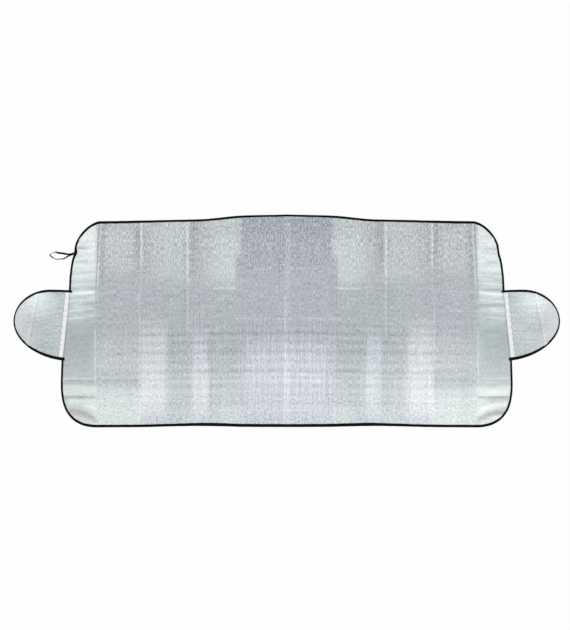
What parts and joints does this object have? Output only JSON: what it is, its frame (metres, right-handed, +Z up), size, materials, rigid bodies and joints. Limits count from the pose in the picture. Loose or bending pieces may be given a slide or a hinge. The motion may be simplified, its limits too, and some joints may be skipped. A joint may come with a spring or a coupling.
{
  "type": "windshield frost cover",
  "caption": "Foil-faced foam cover for a car windshield, with black bound edges, two sewn-on side flaps that are shut in the doors, and an elastic loop",
  "frame": {"origin": "on the floor under the middle of the cover as it lies face up", "axes": "+X along the windshield, towards the flap without the loop; +Y towards the roof edge of the windshield; +Z up, out of the silver face"},
  "size_m": [1.8146, 0.7064, 0.0096],
  "materials": {
    "foil": "silver metallised film laminated to thin foam, embossed with fine ribs along the height, softly creased",
    "binding": "black woven tape folded over the edge and sewn down",
    "joining_tape": "white non-woven tape, puckered by its stitches",
    "elastic": "black braided elastic"
  },
  "bodies": {
    "root": {"cover_panel": "foil", "panel_binding": "binding", "left_flap": "foil", "right_flap": "foil", "left_flap_binding": "binding", "right_flap_binding": "binding", "left_flap_seam_tape": "joining_tape", "right_flap_seam_tape": "joining_tape", "elastic_loop": "elastic"}
  },
  "joints": []
}
